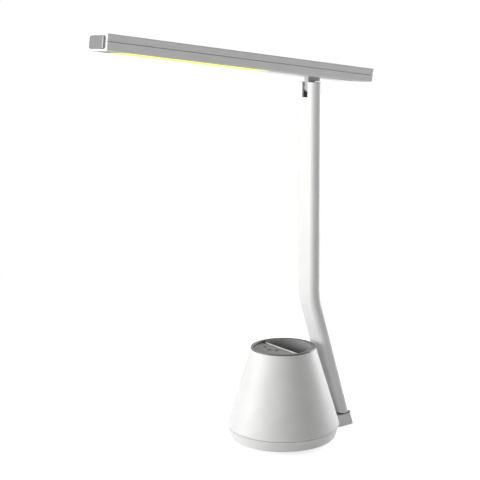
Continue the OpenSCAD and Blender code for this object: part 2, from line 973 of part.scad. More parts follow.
module tilt_washers() {
    color(shown_steel)
    at_tilt_axis()
        for (sy = [-1, 1])
            translate([0, sy * (neck_t / 2 + 0.075 + washer_t / 2), 0])
                difference() {
                    cross_pin(neck_end_r - 0.2, washer_t);
                    cross_pin(tilt_pin_r + 0.1, washer_t + 1);
                }
}

neck_shoulder = axis_drop + neck_gap;

module head_neck() {
    color(shown_grey)
    difference() {
        union() {
            intersection() {
                at_tilt_axis()
                    across(neck_t)
                        union() {
                            circle(r = neck_end_r);
                            translate([-neck_end_r, 0])
                                square([2 * neck_end_r, neck_shoulder + 1]);
                            translate([-neck_back, neck_shoulder])
                                square([neck_back + neck_front, 14]);
                        }
                as_head()
                    translate([-far / 2, -far / 2, -far])
                        cube([far, far, far + neck_plate_z + eps]);
            }
            as_head()
                translate([-neck_back - neck_plate_over, -neck_plate_w / 2, neck_plate_z])
                    cube([neck_back + neck_front + 2 * neck_plate_over, neck_plate_w, neck_plate_t]);
        }
        at_tilt_axis()
            cross_pin(tilt_pin_r + pin_clearance, arm_w);
        at_neck_screws()
            translate([0, 0, neck_plate_z - 1])
                cylinder(r = neck_screw_r + 0.1, h = 5);
    }
}

neck_screw_r = 1.3;

// Puts children at the four screws of the neck's plate, in the head's place
module at_neck_screws() {
    as_head()
        for (x = [-neck_back - neck_plate_over + neck_screw_in, neck_front + neck_plate_over - neck_screw_in],
             sy = [-1, 1])
            translate([x, sy * (neck_plate_w / 2 - neck_screw_in), 0])
                children();
}

module neck_screws() {
    color(shown_steel)
    at_neck_screws() {
        translate([0, 0, neck_plate_z + neck_plate_t])
            cylinder(r = 2.4, h = 1.6);
        translate([0, 0, head_z + 0.5])
            cylinder(r = neck_screw_r, h = neck_plate_z + neck_plate_t - head_z - 0.5 + eps);
    }
}

// ---- head, in its own frame ----

// Side outline of the head, inset by g, with the rising underside at its rear
module head_side(g, front) {
    back = -head_back + g;
    low = head_z + g;
    top = head_top - g;
    r_top = 3 - g / 2;
    r_low = 4 - g / 2;
    rise_r = (rear_run * rear_run + rear_rise * rear_rise) / (2 * rear_rise);
    rise_a = atan2(rear_run, rise_r - rear_rise);
    bend_x = -head_back + rear_run;
    foot = bend_x - (rise_r - g) * sin(rise_a * 0.9);
    foot_z = head_z + rise_r - (rise_r - g) * cos(rise_a * 0.9);
    polygon(concat(
        [[front, low]],
        [[front, top]],
        arc(back + r_top, top - r_top, r_top, 90, 180, 6),
        arc(back + r_low, foot_z + r_low, r_low, 180, 262, 6),
        arc(bend_x, head_z + rise_r, rise_r - g, 270 - rise_a * 0.86, 270, 8)));
}

// Outer form of the head, inset by g, cut off at front
module head_form(g, front) {
    intersection() {
        across(head_w)
            head_side(g, front);
        rotate([90, 0, 90])
            translate([0, (head_z + head_top) / 2, -head_back - 1])
                linear_extrude(head_back + head_front + 2)
                    round_rect(head_w - 2 * g, head_h - 2 * g, max(head_edge_r - g, 0.5));
        translate([0, 0, head_z - 1])
            linear_extrude(head_h + 2)
                union() {
                    translate([-head_back + g + head_rear_r - g, -head_w / 2 + g])
                        square([head_back + front - head_rear_r, head_w - 2 * g]);
                    translate([-head_back + g, -head_w / 2 + head_rear_r])
                        square([head_rear_r, head_w - 2 * head_rear_r]);
                    for (sy = [-1, 1])
                        translate([-head_back + head_rear_r, sy * (head_w / 2 - head_rear_r)])
                            circle(r = head_rear_r - g);
                }
    }
}

// The slab of the head's frame between two heights
module head_slab(z0, z1) {
    translate([-head_back - 5, -head_w, z0])
        cube([head_back + head_front + 10, 2 * head_w, z1 - z0]);
}

module head_housing() {
    lip_t = 1.1;
    color(shown_white)
    difference() {
        union() {
            as_head()
                difference() {
                    intersection() {
                        head_form(0, head_front);
                        head_slab(head_z - 1, groove_z - groove_w / 2);
                    }
                    head_form(head_wall, head_front + 1);
                }
            // lip that backs the groove and lines up the cover
            as_head()
                difference() {
                    union() {
                        intersection() {
                            head_form(head_wall - eps, plug_x - 4);
                            head_slab(groove_z - 2.4, groove_z - groove_w / 2);
                        }
                        intersection() {
                            head_form(head_wall + 0.12, plug_x - 4);
                            head_slab(groove_z - 2.4, groove_z + 1.4);
                        }
                    }
                    head_form(head_wall + lip_t, plug_x);
                }
        }
        as_head()
            translate([strip_start, -strip_w / 2, head_z - 1])
                cube([strip_end - strip_start, strip_w, head_wall + 2]);
        // window for the neck
        as_head()
            translate([neck_hole_x0, -neck_t / 2 - seat, head_z - 1])
                cube([neck_hole_x1 - neck_hole_x0, neck_t + 2 * seat, 5]);
        at_neck_screws()
            translate([0, 0, head_z + 0.4])
                cylinder(r = neck_screw_r + 0.05, h = 4);
    }
}

module head_cover() {
    color(shown_white)
    as_head()
        difference() {
            intersection() {
                head_form(0, head_front);
                head_slab(groove_z + groove_w / 2, head_top + 1);
            }
            head_form(head_wall, head_front + 1);
        }
}

module diffuser() {
    fit = 0.15;
    flange_w = head_w - 2 * head_wall - 1.2;
    color([0.97, 0.95, 0.4])
    as_head()
        union() {
            translate([strip_start + fit, -strip_w / 2 + fit, head_z + 0.1])
                cube([strip_end - strip_start - 2 * fit, strip_w - 2 * fit, head_wall]);
            translate([strip_start - 2, -flange_w / 2, head_floor])
                cube([strip_end - strip_start + 1, flange_w, strip_flange]);
        }
}

module reflector() {
    wall = 1;
    mouth = strip_w / 2 - 0.5;
    throat = 6;
    color([0.98, 0.98, 0.98])
    as_head()
        translate([strip_start - 1, 0, 0])
            rotate([90, 0, 90])
                linear_extrude(strip_end - strip_start - 1)
                    for (sy = [-1, 1])
                        polygon([[sy * mouth, reflector_z], [sy * (mouth + wall), reflector_z],
                                 [sy * (throat + wall + 2), board_z], [sy * throat, board_z]]);
}

board_w = 18;

module led_board() {
    color([0.9, 0.9, 0.88])
    as_head()
        translate([strip_start - 1, -board_w / 2, board_z])
            cube([strip_end - strip_start - 1, board_w, board_t]);
}

module led_chips() {
    color([0.98, 0.9, 0.4])
    as_head()
        for (i = [0:led_count - 1])
            translate([led_start + i * led_pitch - 1.5, -1.5, board_z - 0.8])
                cube([3, 3, 0.8]);
}

module heat_bar() {
    fin_t = 1.4;
    color(shown_steel)
    as_head()
        translate([strip_start + 2, 0, board_z + board_t])
            rotate([90, 0, 90])
                linear_extrude(strip_end - strip_start - 8)
                    union() {
                        translate([-board_w / 2, 0])
                            square([board_w, 1.6]);
                        for (i = [-2:2])
                            translate([i * (board_w - fin_t) / 4 - fin_t / 2, 0])
                                square([fin_t, 4]);
                    }
}

head_lead_x = neck_front + neck_plate_over + 0.4;

module head_lead() {
    color([0.15, 0.15, 0.16])
    as_head()
        for (sy = [-1, 1])
            translate([head_lead_x, sy * lead_side, head_floor + lead_r + 0.1])
                rotate([0, 90, 0])
                    cylinder(r = lead_r, h = strip_start - 2.4 - head_lead_x);
}

// Dark plate at the bottom of the tip's recess
module tip_seal() {
    color(shown_dark)
    as_head()
        translate([plug_x - 2.2, 0, (head_z + head_top) / 2])
            rotate([90, 0, 90])
                linear_extrude(2)
                    round_rect(head_w - 2 * head_wall - 0.4, head_h - 2 * head_wall - 0.4, 0.9);
}

module tip_insert() {
    side_gap = 2.6;
    rim_gap = 1.3;
    color(shown_grey)
    as_head()
        translate([plug_x - 0.2, 0, (head_z + head_top) / 2])
            rotate([90, 0, 90]) {
                linear_extrude(tip_recess - 2.3)
                    round_rect(head_w - 2 * head_wall - 2 * side_gap,
                               head_h - 2 * head_wall - 2 * rim_gap, 2.4);
                linear_extrude(tip_recess - 1.8)
                    round_rect(head_w - 2 * head_wall - 2 * side_gap - 1,
                               head_h - 2 * head_wall - 2 * rim_gap - 1, 2);
            }
}

base_shell();
base_cover();
base_pad();
trim_ring();
pen_cup();
divider_rail();
touch_panel();
touch_marks();
touch_board();
ballast_plate();
battery_tray();
battery_cells();
main_board();
board_spacers();
charge_socket();
cover_screws();
ballast_screws();
foot_block();
foot_screws();
rear_pad();
hinge_leaf_lower();
leaf_screws_lower();
hinge_pin();
hinge_leaf_upper();
leaf_screws_upper();
arm_foot_plug();
arm_tube();
arm_fork();
arm_lead();
tilt_pin();
tilt_washers();
head_neck();
neck_screws();
head_housing();
head_cover();
diffuser();
reflector();
led_board();
led_chips();
heat_bar();
head_lead();
tip_seal();
tip_insert();
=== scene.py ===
"""Looks of a rechargeable desk lamp whose conical base is a pen cup, as a Blender add-on.

Lengths are metres in the CAD model's frame: Z is up, X points to the head's tip and Y is
across the lamp. The origin is where the base's axis meets the desk.
"""
import math

import bmesh
import bpy
from bpy.props import FloatProperty, FloatVectorProperty, IntProperty, PointerProperty
from mathutils import Matrix, Vector


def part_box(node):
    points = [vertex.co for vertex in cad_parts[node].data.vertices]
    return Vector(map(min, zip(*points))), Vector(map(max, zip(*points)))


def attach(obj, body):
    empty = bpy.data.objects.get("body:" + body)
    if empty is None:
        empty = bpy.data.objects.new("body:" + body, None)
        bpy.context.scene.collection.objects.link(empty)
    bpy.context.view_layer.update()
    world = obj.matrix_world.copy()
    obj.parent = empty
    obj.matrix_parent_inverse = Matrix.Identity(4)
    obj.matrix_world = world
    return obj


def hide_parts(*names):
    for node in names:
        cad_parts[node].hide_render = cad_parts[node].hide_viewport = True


bl_info = {
    "name": "Pen-cup desk lamp",
    "version": (1, 0, 0),
    "blender": (4, 5, 0),
    "location": "3D View > Sidebar > Lamp",
    "description": "Models and finishes a desk lamp around its packed CAD frame",
    "category": "Object",
}

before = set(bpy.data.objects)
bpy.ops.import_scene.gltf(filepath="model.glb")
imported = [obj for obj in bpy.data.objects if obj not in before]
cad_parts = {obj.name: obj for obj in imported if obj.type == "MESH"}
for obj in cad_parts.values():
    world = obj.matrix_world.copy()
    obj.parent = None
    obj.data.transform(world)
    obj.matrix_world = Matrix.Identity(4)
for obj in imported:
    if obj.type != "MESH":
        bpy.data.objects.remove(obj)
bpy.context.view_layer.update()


def middle_of(node):
    low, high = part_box(node)
    return (low + high) / 2


MM = 0.001
TILT_AXIS = middle_of("tilt_pin")
HINGE_AXIS = middle_of("hinge_pin")
MERGE = 0.002 * MM          # corners closer than this are one corner
FLAT = math.radians(0.25)   # faces that turn less than this are one flat face
CREASE = 26.0               # edges that turn more than this, in degrees, read as edges


# ---- sizes and colours that a user would change ----

class LampSizes(bpy.types.PropertyGroup):
    """Radii of the edges, and how finely they are rounded."""
    shell_edge: FloatProperty(
        name="Shell edge", description="Radius of the moulded shells' open edges",
        default=0.35 * MM, min=0.05 * MM, max=1.0 * MM, subtype="DISTANCE", unit="LENGTH")
    arm_edge: FloatProperty(
        name="Arm edge", description="Radius of the edges at the arm's top and slot",
        default=0.4 * MM, min=0.05 * MM, max=1.0 * MM, subtype="DISTANCE", unit="LENGTH")
    arm_front_round: FloatProperty(
        name="Arm front rounding", description="Radius of the arm's long front edges",
        default=7.2 * MM, min=3.0 * MM, max=7.3 * MM, subtype="DISTANCE", unit="LENGTH")
    arm_rear_round: FloatProperty(
        name="Arm rear rounding", description="Radius of the arm's long rear edges",
        default=6.2 * MM, min=3.0 * MM, max=7.3 * MM, subtype="DISTANCE", unit="LENGTH")
    head_edge: FloatProperty(
        name="Head edge", description="Radius of the head's long edges",
        default=0.9 * MM, min=0.5 * MM, max=2.4 * MM, subtype="DISTANCE", unit="LENGTH")
    fine_edge: FloatProperty(
        name="Fine edge", description="Radius of the edges of small pieces",
        default=0.15 * MM, min=0.02 * MM, max=0.5 * MM, subtype="DISTANCE", unit="LENGTH")
    edge_steps: IntProperty(
        name="Edge steps", description="Faces across a softened edge",
        default=3, min=1, max=6)


class LampColours(bpy.types.PropertyGroup):
    """Base colours of the finishes."""
    white: FloatVectorProperty(
        name="Housing", description="Moulded white of base and head",
        default=(0.8, 0.8, 0.8), size=3, min=0, max=1, subtype="COLOR")
    arm_white: FloatVectorProperty(
        name="Arm", description="Paint of the arm",
        default=(0.8, 0.8, 0.8), size=3, min=0, max=1, subtype="COLOR")
    cup: FloatVectorProperty(
        name="Pen cup", description="Grey of the pen cup and its deck",
        default=(0.4, 0.4, 0.405), size=3, min=0, max=1, subtype="COLOR")
    tip: FloatVectorProperty(
        name="Tip insert", description="Grey of the insert in the head's tip",
        default=(0.19, 0.19, 0.192), size=3, min=0, max=1, subtype="COLOR")
    ring: FloatVectorProperty(
        name="Mouth ring", description="Grey of the ring round the mouth",
        default=(0.14, 0.14, 0.143), size=3, min=0, max=1, subtype="COLOR")
    touch: FloatVectorProperty(
        name="Touch plate", description="Grey of the touch plate",
        default=(0.35, 0.35, 0.355), size=3, min=0, max=1, subtype="COLOR")
    light: FloatVectorProperty(
        name="Light strip", description="Colour of the lit strip",
        default=(0.93, 1.0, 0.03), size=3, min=0, max=1, subtype="COLOR")


class LampStage(bpy.types.PropertyGroup):
    """Strengths of the lights and of the even fill."""
    key_power: FloatProperty(
        name="Key light", description="Power of the light in front of the lamp's head",
        default=17.4, min=0, max=200, unit="POWER")
    side_power: FloatProperty(
        name="Side light", description="Power of the soft light beside the camera",
        default=2.3, min=0, max=200, unit="POWER")
    rim_power: FloatProperty(
        name="Rim light", description="Power of the light behind the lamp",
        default=16.0, min=0, max=200, unit="POWER")
    fill: FloatProperty(
        name="Fill", description="Strength of the even light from all round",
        default=0.12, min=0, max=2)


# ---- selecting and shaping ----

def clear_selection():
    if bpy.context.object is not None and bpy.context.object.mode != "OBJECT":
        bpy.ops.object.mode_set(mode="OBJECT")
    bpy.ops.object.select_all(action="DESELECT")


def pick(piece):
    clear_selection()
    piece.select_set(True)
    bpy.context.view_layer.objects.active = piece


def named_mesh(name):
    """The piece just added by an operator, named."""
    piece = bpy.context.object
    piece.name = name
    piece.data.name = name
    return piece


def copy_node(node, name):
    """A new piece with the CAD node's form, its triangles merged into whole faces."""
    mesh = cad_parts[node].data.copy()
    mesh.name = name
    mesh.materials.clear()
    piece = bpy.data.objects.new(name, mesh)
    bpy.context.scene.collection.objects.link(piece)
    pick(piece)
    if mesh.has_custom_normals:
        bpy.ops.mesh.customdata_custom_splitnormals_clear()
    bpy.ops.object.mode_set(mode="EDIT")
    bpy.ops.mesh.select_all(action="SELECT")
    bpy.ops.mesh.remove_doubles(threshold=MERGE)
    bpy.ops.mesh.tris_convert_to_quads(face_threshold=FLAT, shape_threshold=math.pi)
    bpy.ops.object.mode_set(mode="OBJECT")
    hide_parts(node)
    return piece


def everywhere(_point):
    return True


def start_selection(piece, kind):
    """Makes corners or edges the kind to select, with none selected."""
    pick(piece)
    bpy.ops.object.mode_set(mode="EDIT")
    bpy.ops.mesh.select_mode(type=kind)
    bpy.ops.mesh.select_all(action="DESELECT")
    bpy.ops.object.mode_set(mode="OBJECT")


def select_corners(piece, where):
    start_selection(piece, "VERT")
    for vertex in piece.data.vertices:
        vertex.select = where(vertex.co)


def select_edges(piece, where=everywhere, least=CREASE):
    """Selects the creases whose middle is where it should be, and says how many there are."""
    start_selection(piece, "EDGE")
    shape = bmesh.new()
    shape.from_mesh(piece.data)
    shape.edges.ensure_lookup_table()
    chosen = []
    for edge in shape.edges:
        if len(edge.link_faces) != 2:
            continue
        middle = (edge.verts[0].co + edge.verts[1].co) / 2
        if math.degrees(edge.calc_face_angle()) > least and where(middle):
            chosen.append(edge.index)
    shape.free()
    for index in chosen:
        piece.data.edges[index].select = True
    return len(chosen)


def soften(piece, width, where=everywhere, least=CREASE, steps=None):
    """Rounds the creases that are where they should be."""
    steps = steps or bpy.context.scene.lamp_sizes.edge_steps
    if not select_edges(piece, where, least):
        raise RuntimeError(f"{piece.name} has no edge to soften there")
    bpy.ops.object.mode_set(mode="EDIT")
    bpy.ops.mesh.bevel(offset=width, segments=steps, profile=0.5, affect="EDGES",
                       clamp_overlap=True, miter_outer="ARC")
    bpy.ops.object.mode_set(mode="OBJECT")


def add_block(name, low, high):
    """A plain block between two opposite corners."""
    low, high = Vector(low), Vector(high)
    clear_selection()
    bpy.ops.mesh.primitive_cube_add(size=1, location=(low + high) / 2)
    piece = named_mesh(name)
    piece.scale = high - low
    bpy.ops.object.transform_apply(location=True, rotation=True, scale=True)
    return piece


def combine(piece, other, operation):
    """Cuts the piece with another one, or joins them. The other one is used up."""
    pick(piece)
    change = piece.modifiers.new("combine", "BOOLEAN")
    change.operation = operation
    change.solver = "EXACT"
    change.object = other
    bpy.ops.object.modifier_apply(modifier=change.name)
    bpy.data.objects.remove(other)


def smooth(piece, angle=CREASE + 6):
    """Shades the curved faces smoothly and keeps the flat ones flat."""
    pick(piece)
    bpy.ops.object.shade_smooth_by_angle(angle=math.radians(angle))
    weighted = piece.modifiers.new("even shading", "WEIGHTED_NORMAL")
    weighted.keep_sharp = True
    bpy.ops.object.modifier_apply(modifier=weighted.name)


def finish_piece(piece, material, body, slot):
    """Gives a finished piece its material and its body; the slot is not used."""
    piece.data.materials.clear()
    piece.data.materials.append(material)
    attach(piece, body)


# ---- materials ----

def start_material(name, colour, roughness, metallic=0.0, specular=0.5):
    """A material with its shader and object coordinates, in metres."""
    material = bpy.data.materials.new(name)
    material.use_nodes = True
    nodes = material.node_tree.nodes
    shader = nodes["Principled BSDF"]
    shader.inputs["Base Color"].default_value = (*colour, 1)
    shader.inputs["Roughness"].default_value = roughness
    shader.inputs["Metallic"].default_value = metallic
    shader.inputs["Specular IOR Level"].default_value = specular
    place = nodes.new("ShaderNodeTexCoord")
    place.name = "place"
    return material


def parts_of(material):
    nodes = material.node_tree.nodes
    return nodes, material.node_tree.links, nodes["Principled BSDF"], nodes["place"]


def noise(material, scale, detail=3.0, stretch=(1, 1, 1), turn=(0, 0, 0)):
    """Noise over the piece's own coordinates, with scale in waves per metre."""
    nodes, links, _shader, place = parts_of(material)
    mapping = nodes.new("ShaderNodeMapping")
    mapping.inputs["Scale"].default_value = stretch
    mapping.inputs["Rotation"].default_value = turn
    links.new(place.outputs["Object"], mapping.inputs["Vector"])
    texture = nodes.new("ShaderNodeTexNoise")
    texture.inputs["Scale"].default_value = scale
    texture.inputs["Detail"].default_value = detail
    links.new(mapping.outputs["Vector"], texture.inputs["Vector"])
    return texture


# parts of a noise texture's range over which colour and gloss go from low to high
COLOUR_SPREAD = (0.35, 0.65)
GLOSS_SPREAD = (0.3, 0.7)


def vary_colour(material, low, high, texture):
    """Lets the colour drift between two tones."""
    nodes, links, shader, _place = parts_of(material)
    ramp = nodes.new("ShaderNodeValToRGB")
    for element, position, colour in zip(ramp.color_ramp.elements, COLOUR_SPREAD, (low, high)):
        element.position = position
        element.color = (*colour, 1)
    links.new(texture.outputs["Fac"], ramp.inputs["Fac"])
    links.new(ramp.outputs["Color"], shader.inputs["Base Color"])
    return ramp


def vary_roughness(material, low, high, texture):
    nodes, links, shader, _place = parts_of(material)
    spread = nodes.new("ShaderNodeMapRange")
    spread.inputs["From Min"].default_value = GLOSS_SPREAD[0]
    spread.inputs["From Max"].default_value = GLOSS_SPREAD[1]
    spread.inputs["To Min"].default_value = low
    spread.inputs["To Max"].default_value = high
    links.new(texture.outputs["Fac"], spread.inputs["Value"])
    links.new(spread.outputs["Result"], shader.inputs["Roughness"])


def add_bump(material, height, depth, strength=1.0):
    """Raises the surface by a texture's height, over depth metres."""
    nodes, links, shader, _place = parts_of(material)
    bump = nodes.new("ShaderNodeBump")
    bump.inputs["Strength"].default_value = strength
    bump.inputs["Distance"].default_value = depth
    links.new(height, bump.inputs["Height"])
    links.new(bump.outputs["Normal"], shader.inputs["Normal"])


def tone(colour, factor):
    return tuple(min(1.0, c * factor) for c in colour)


def moulded(name, colour, rough, grain=2600, depth=0.03 * MM, drift=0.02, specular=0.45):
    """Spark-eroded moulded plastic: a fine even grain and a faint drift of tone and gloss."""
    material = start_material(name, colour, rough, specular=specular)
    clouds = noise(material, 60, 2.0)
    vary_colour(material, tone(colour, 1 - drift), tone(colour, 1 + drift), clouds)
    vary_roughness(material, rough - 0.05, rough + 0.05, noise(material, 180, 4.0))
    add_bump(material, noise(material, grain, 3.0).outputs["Fac"], depth, 0.35)
    return material


def painted(name, colour):
    """Powder paint: a low orange peel under a satin gloss."""
    material = start_material(name, colour, 0.4, specular=0.45)
    vary_colour(material, tone(colour, 0.985), tone(colour, 1.01), noise(material, 45, 2.0))
    vary_roughness(material, 0.36, 0.46, noise(material, 240, 4.0))
    add_bump(material, noise(material, 900, 2.0).outputs["Fac"], 0.04 * MM, 0.25)
    return material


def satin_metal(name, colour, rough, stretch=(1, 1, 1), metallic=1.0, grain=1400):
    """Brushed or turned metal: streaks in gloss and height along the stretched way."""
    material = start_material(name, colour, rough, metallic=metallic)
    streaks = noise(material, grain, 4.0, stretch)
    vary_colour(material, tone(colour, 0.94), tone(colour, 1.04), noise(material, 300, 3.0))
    vary_roughness(material, rough - 0.07, rough + 0.09, streaks)
    add_bump(material, streaks.outputs["Fac"], 0.01 * MM, 0.3)
    return material


def rubber(name, colour):
    """Moulded rubber: matt, with a pebbled skin and a little dust."""
    material = start_material(name, colour, 0.8, specular=0.3)
    nodes, links, _shader, place = parts_of(material)
    pebbles = nodes.new("ShaderNodeTexVoronoi")
    pebbles.inputs["Scale"].default_value = 1300
    links.new(place.outputs["Object"], pebbles.inputs["Vector"])
    vary_colour(material, tone(colour, 0.8), tone(colour, 1.5), noise(material, 220, 5.0))
    vary_roughness(material, 0.72, 0.9, noise(material, 500, 3.0))
    add_bump(material, pebbles.outputs["Distance"], 0.12 * MM, 0.5)
    return material


def printed_board(name, colour, track):
    """Circuit board: lacquer over paler copper tracks."""
    material = start_material(name, colour, 0.35)
    nodes, links, shader, place = parts_of(material)
    tracks = nodes.new("ShaderNodeTexBrick")
    tracks.inputs["Scale"].default_value = 260
    tracks.inputs["Mortar Size"].default_value = 0.03
    tracks.inputs["Color1"].default_value = (*colour, 1)
    tracks.inputs["Color2"].default_value = (*tone(colour, 0.85), 1)
    tracks.inputs["Mortar"].default_value = (*track, 1)
    links.new(place.outputs["Object"], tracks.inputs["Vector"])
    links.new(tracks.outputs["Color"], shader.inputs["Base Color"])
    vary_roughness(material, 0.28, 0.45, noise(material, 400, 3.0))
    add_bump(material, tracks.outputs["Fac"], 0.03 * MM, 0.4)
    return material


def lit_panel(name, colour):
    """The diffuser of the light, lit evenly from behind, with a fine grain."""
    material = start_material(name, colour, 0.4, specular=0.2)
    _nodes, links, shader, _place = parts_of(material)
    clouds = noise(material, 35, 1.0, (0.3, 1, 1))
    ramp = vary_colour(material, tone(colour, 0.95), colour, clouds)
    links.new(ramp.outputs["Color"], shader.inputs["Emission Color"])
    shader.inputs["Emission Strength"].default_value = 0.8
    vary_roughness(material, 0.35, 0.5, noise(material, 300, 3.0))
    add_bump(material, noise(material, 1500, 1.0).outputs["Fac"], 0.05 * MM, 0.3)
    return material


FINISHES = {}


def finish(name):
    """The material of that finish, made when it is first asked for."""
    if name not in FINISHES:
        colours = bpy.context.scene.lamp_colours
        makers = {
            "white_shell": lambda: moulded("satin_white_plastic", colours.white, 0.42),
            "white_paint": lambda: painted("white_powder_paint", colours.arm_white),
            "grey_plastic": lambda: moulded("grey_plastic", colours.cup, 0.5,
                                            grain=1900, depth=0.05 * MM, drift=0.04),
            "tip_grey": lambda: moulded("tip_grey", colours.tip, 0.5,
                                        grain=1900, depth=0.05 * MM, drift=0.05),
            "trim_grey": lambda: moulded("ring_grey", colours.ring, 0.32,
                                         grain=2400, depth=0.02 * MM, drift=0.04),
            "touch_face": lambda: moulded("touch_plate_grey", colours.touch, 0.45,
                                          grain=3200, depth=0.02 * MM, drift=0.03),
            "touch_print": lambda: moulded("touch_print", (0.1, 0.075, 0.065), 0.5,
                                           grain=3000, depth=0.01 * MM, drift=0.05),
            "bright_trim": lambda: satin_metal("bright_rail", (0.5, 0.5, 0.5), 0.32,
                                               stretch=(1, 0.05, 1)),
            "pad_rubber": lambda: rubber("pad_rubber", (0.03, 0.03, 0.031)),
            "steel": lambda: satin_metal("zinc_steel", (0.6, 0.61, 0.63), 0.36),
            "hinge_dark": lambda: satin_metal("hinge_black_steel", (0.07, 0.07, 0.075), 0.42,
                                              stretch=(1, 0.1, 1)),
            "dark_plastic": lambda: moulded("dark_plastic", (0.05, 0.05, 0.052), 0.5,
                                            grain=2200, depth=0.04 * MM, drift=0.1),
            "cell_wrap": lambda: moulded("cell_wrap", (0.05, 0.14, 0.3), 0.3,
                                         grain=800, depth=0.02 * MM, drift=0.06),
            "circuit_board": lambda: printed_board("green_board", (0.02, 0.12, 0.05),
                                                   track=(0.12, 0.3, 0.12)),
            "board_white": lambda: printed_board("white_board", (0.75, 0.75, 0.73),
                                                 track=(0.62, 0.6, 0.5)),
            "led_yellow": lambda: moulded("phosphor", (0.9, 0.72, 0.12), 0.4,
                                          grain=3000, depth=0.02 * MM, drift=0.06),
            "reflector_white": lambda: moulded("reflector_white", (0.88, 0.88, 0.87), 0.55,
                                               grain=2000),
            "diffuser_lit": lambda: lit_panel("lit_diffuser", colours.light),
            "lead_black": lambda: moulded("lead_sheath", (0.02, 0.02, 0.022), 0.55,
                                          grain=2500, depth=0.03 * MM, drift=0.2),
            "heat_alu": lambda: satin_metal("heat_bar_aluminium", (0.7, 0.71, 0.72), 0.4,
                                            stretch=(0.05, 1, 1)),
        }
        FINISHES[name] = makers[name]()
    return FINISHES[name]


def dress_node(node, slot):
    """A CAD node whose form is right as it is gets its finish."""
    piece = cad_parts[node]
    piece.data.materials.clear()
    piece.data.materials.append(finish(slot))


def restyle(node, name, slot, body, width, where=everywhere, steps=None):
    """The usual way with a visible node: a merged copy with softened edges."""
    piece = copy_node(node, name)
    soften(piece, width, where, steps=steps)
    smooth(piece)
    finish_piece(piece, finish(slot), body, slot)


# ---- operators, one for each piece or group of like pieces ----

class LampPiece:
    """What the lamp's operators share."""
    bl_options = {"REGISTER", "UNDO"}

    def execute(self, context):
        self.make(context.scene.lamp_sizes)
        return {"FINISHED"}


class LAMP_OT_base_shell(LampPiece, bpy.types.Operator):
    """Cone of the base with its soft shoulder"""
    bl_idname = "lamp.base_shell"
    bl_label = "Base shell"

    def make(self, sizes):
        low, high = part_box("base_shell")
        end_band = 1.2 * MM

        def outer(point):
            return point.z < low.z + end_band or point.z > high.z - end_band
        restyle("base_shell", "cone_shell", "white_shell", "base", sizes.fine_edge, outer)


class LAMP_OT_base_cover(LampPiece, bpy.types.Operator):
    """Bottom cover below the seam"""
    bl_idname = "lamp.base_cover"
    bl_label = "Bottom cover"

    def make(self, sizes):
        _low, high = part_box("base_cover")
        rim_band = 4.0 * MM

        def outer(point):
            return math.hypot(point.x, point.y) > high.x - rim_band
        restyle("base_cover", "bottom_cover", "white_shell", "base", sizes.fine_edge, outer)


class LAMP_OT_pads(LampPiece, bpy.types.Operator):
    """Rubber pads under the base and under the foot block"""
    bl_idname = "lamp.pads"
    bl_label = "Pads"

    def make(self, sizes):
        restyle("base_pad", "desk_pad", "pad_rubber", "base", 2 * sizes.fine_edge)
        restyle("rear_pad", "foot_pad", "pad_rubber", "base", 2 * sizes.fine_edge)


RING_CREASE = 40.0          # in degrees: up to this the ring's edges are shaded as curves


class LAMP_OT_mouth_ring(LampPiece, bpy.types.Operator):
    """Grey ring round the mouth of the base"""
    bl_idname = "lamp.mouth_ring"
    bl_label = "Mouth ring"

    def make(self, sizes):
        piece = copy_node("trim_ring", "mouth_ring")
        smooth(piece, RING_CREASE)
        finish_piece(piece, finish("trim_grey"), "base", "trim_grey")


class LAMP_OT_pen_cup(LampPiece, bpy.types.Operator):
    """Pen cup with its deck"""
    bl_idname = "lamp.pen_cup"
    bl_label = "Pen cup"

    def make(self, sizes):
        restyle("pen_cup", "pen_cup_liner", "grey_plastic", "base", sizes.shell_edge)


class LAMP_OT_divider_rail(LampPiece, bpy.types.Operator):
    """Bright rail on the cup's divider wall"""
    bl_idname = "lamp.divider_rail"
    bl_label = "Divider rail"

    def make(self, sizes):
        restyle("divider_rail", "bright_rail", "bright_trim", "base", sizes.shell_edge)


MARK_DOT = 1.45 * MM        # radius of the dot in each printed ring
MARK_APART = 6.0 * MM       # corners closer than this belong to one ring


class LAMP_OT_touch_plate(LampPiece, bpy.types.Operator):
    """Touch plate and the marks printed on it"""
    bl_idname = "lamp.touch_plate"
    bl_label = "Touch plate"

    def make(self, sizes):
        restyle("touch_panel", "touch_plate", "touch_face", "base", sizes.shell_edge)
        piece = copy_node("touch_marks", "touch_symbols")
        low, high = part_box("touch_marks")
        for x, y in self.ring_centres(piece):
            clear_selection()
            bpy.ops.mesh.primitive_cylinder_add(
                vertices=32, radius=MARK_DOT, depth=high.z - low.z,
                location=(x, y, (low.z + high.z) / 2))
            combine(piece, named_mesh("mark_dot"), "UNION")
        smooth(piece)
        finish_piece(piece, finish("touch_print"), "base", "touch_print")

    def ring_centres(self, piece):
        """Middles of the printed rings, found from the places of their corners."""
        rings = []
        for vertex in piece.data.vertices:
            mine = [ring for ring in rings if (vertex.co - ring[0]).length < MARK_APART]
            if mine:
                mine[0].append(vertex.co.copy())
            else:
                rings.append([vertex.co.copy()])
        for ring in rings:
            along = [point.x for point in ring]
            across = [point.y for point in ring]
            yield (min(along) + max(along)) / 2, (min(across) + max(across)) / 2


class LAMP_OT_charge_inlet(LampPiece, bpy.types.Operator):
    """Charging inlet on the far side of the base"""
    bl_idname = "lamp.charge_inlet"
    bl_label = "Charging inlet"

    def make(self, sizes):
        restyle("charge_socket", "charge_inlet", "steel", "base", sizes.fine_edge / 2)


class LAMP_OT_fasteners(LampPiece, bpy.types.Operator):
    """Screws of cover, ballast, foot block, hinge and neck"""
    bl_idname = "lamp.fasteners"
    bl_label = "Fasteners"

    def make(self, sizes):
        for node in ("cover_screws", "ballast_screws", "foot_screws", "leaf_screws_lower",
                     "leaf_screws_upper", "neck_screws"):
            dress_node(node, "steel")


